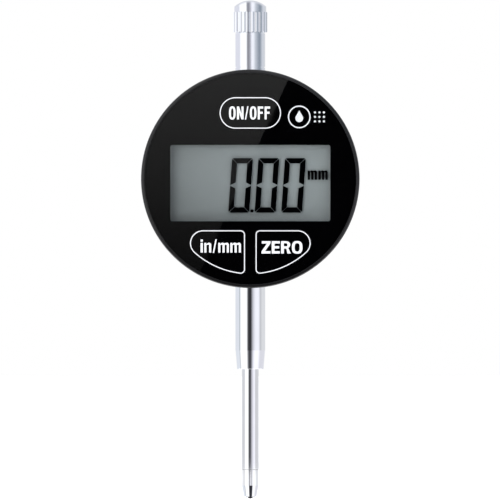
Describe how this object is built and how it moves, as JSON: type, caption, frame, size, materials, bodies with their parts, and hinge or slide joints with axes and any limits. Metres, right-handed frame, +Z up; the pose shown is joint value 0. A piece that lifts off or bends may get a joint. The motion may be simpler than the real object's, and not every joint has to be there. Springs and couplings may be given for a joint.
{
  "type": "digital dial indicator",
  "caption": "Round electronic dial indicator with an LCD face and push keys, a plunger sliding in a straight stem, a fluted top cap and a rear lug with a cross hole.",
  "frame": {"origin": "on the spindle axis, at the middle of the 8 mm length of the clamping stem", "axes": "+Z up along the spindle axis towards the top cap, -Y out of the display face, +Y out of the rear lug, +X to the right of the display"},
  "size_m": [0.0584, 0.037, 0.1342],
  "materials": {
    "case_plastic": "fine satin black ABS",
    "clear_lens": "clear acrylic, polished",
    "print_film": "gloss black print",
    "key_plastic": "gloss black, white outline and letters",
    "black_rubber": "matt nitrile rubber",
    "grey_silicone": "translucent grey silicone",
    "zebra_rubber": "layered conductive silicone",
    "lcd_glass": "clear liquid-crystal cell",
    "lcd_reflector": "grey-green diffuse reflector",
    "white_plastic": "moulded off-white plastic",
    "screw_steel": "bright zinc-plated screws",
    "circuit_board": "green solder mask",
    "scale_board": "copper-patterned scale strip",
    "chip_black": "moulded epoxy",
    "switch_plunger": "moulded orange-red plastic",
    "crystal_can": "drawn metal can",
    "polished_steel": "ground and polished stainless steel",
    "spindle_steel": "hardened, ground stainless steel",
    "carbide": "polished tungsten carbide ball",
    "bush_bronze": "machined bronze",
    "machined_aluminium": "milled aluminium",
    "spring_steel": "bright spring wire",
    "battery_steel": "nickel-plated coin cell",
    "contact_brass": "sprung contact strip"
  },
  "bodies": {
    "head": {"battery": "battery_steel", "battery_contact_negative": "contact_brass", "battery_contact_positive": "contact_brass", "battery_leads": "contact_brass", "battery_tray": "chip_black", "board_screws": "screw_steel", "cover_screws": "screw_steel", "crystal": "crystal_can", "face_film": "print_film", "face_lens": "clear_lens", "front_housing": "case_plastic", "guide_rail": "machined_aluminium", "keypad_membrane": "grey_silicone", "lcd_frame": "white_plastic", "lcd_panel": "lcd_glass", "lcd_reflector": "lcd_reflector", "lower_bumper": "black_rubber", "main_board": "circuit_board", "on_off_switch": "chip_black", "processor": "chip_black", "rail_pins": "screw_steel", "reader_board": "circuit_board", "rear_cover": "case_plastic", "rear_gasket": "black_rubber", "return_spring": "spring_steel", "sleeve_bush": "bush_bronze", "spring_post": "screw_steel", "stem": "polished_steel", "stem_lower_bush": "bush_bronze", "stem_upper_bush": "bush_bronze", "top_sleeve": "polished_steel", "unit_switch": "chip_black", "wiper_seal": "black_rubber", "zebra_strips": "zebra_rubber", "zero_switch": "chip_black"},
    "spindle_line": {"spindle": "spindle_steel", "scale_carrier": "machined_aluminium", "carrier_screws": "screw_steel", "scale_strip": "scale_board", "upper_bumper": "black_rubber", "guide_pin": "screw_steel", "guide_shoe": "white_plastic", "spring_stud": "screw_steel"},
    "contact_point": {"contact_point": "spindle_steel", "contact_ball": "carbide", "contact_washer": "black_rubber"},
    "on_off_key": {"on_off_button": "key_plastic", "on_off_plunger": "switch_plunger"},
    "unit_key": {"unit_button": "key_plastic", "unit_plunger": "switch_plunger"},
    "zero_key": {"zero_button": "key_plastic", "zero_plunger": "switch_plunger"},
    "hatch_seal": {"hatch_seal": "black_rubber"},
    "battery_hatch": {"battery_hatch": "case_plastic"},
    "cap_washer": {"cap_washer": "polished_steel"},
    "top_cap": {"top_cap": "polished_steel"}
  },
  "joints": [
    {"name": "spindle_slide", "type": "slide", "parent": "head", "child": "spindle_line", "axis": [0, 0, 1], "range_m": [0, 0.0254], "stiffness_N_per_m": 31.5, "springref_m": -0.022, "deforming": ["return_spring"]},
    {"name": "contact_point_turn", "type": "hinge", "parent": "spindle_line", "child": "contact_point", "pos_m": [0, 0, -0.043], "axis": [0, 0, 1], "range_deg": [0, 360]},
    {"name": "on_off_press", "type": "slide", "parent": "head", "child": "on_off_key", "axis": [0, 1, 0], "range_m": [0, 0.0005], "stiffness_N_per_m": 2000, "springref_m": -0.0002},
    {"name": "unit_press", "type": "slide", "parent": "head", "child": "unit_key", "axis": [0, 1, 0], "range_m": [0, 0.0005], "stiffness_N_per_m": 2000, "springref_m": -0.0002},
    {"name": "zero_press", "type": "slide", "parent": "head", "child": "zero_key", "axis": [0, 1, 0], "range_m": [0, 0.0005], "stiffness_N_per_m": 2000, "springref_m": -0.0002},
    {"name": "hatch_lift", "type": "slide", "parent": "head", "child": "hatch_seal", "axis": [0, 1, 0], "range_m": [0, 0.008]},
    {"name": "hatch_turn", "type": "hinge", "parent": "hatch_seal", "child": "battery_hatch", "pos_m": [-0.0148, 0.009, 0.0376], "axis": [0, 1, 0], "range_deg": [0, 360]},
    {"name": "cap_lift", "type": "slide", "parent": "head", "child": "cap_washer", "axis": [0, 0, 1], "range_m": [0, 0.009]},
    {"name": "cap_turn", "type": "hinge", "parent": "cap_washer", "child": "top_cap", "pos_m": [0, 0, 0.08], "axis": [0, 0, 1], "range_deg": [0, 360]}
  ]
}
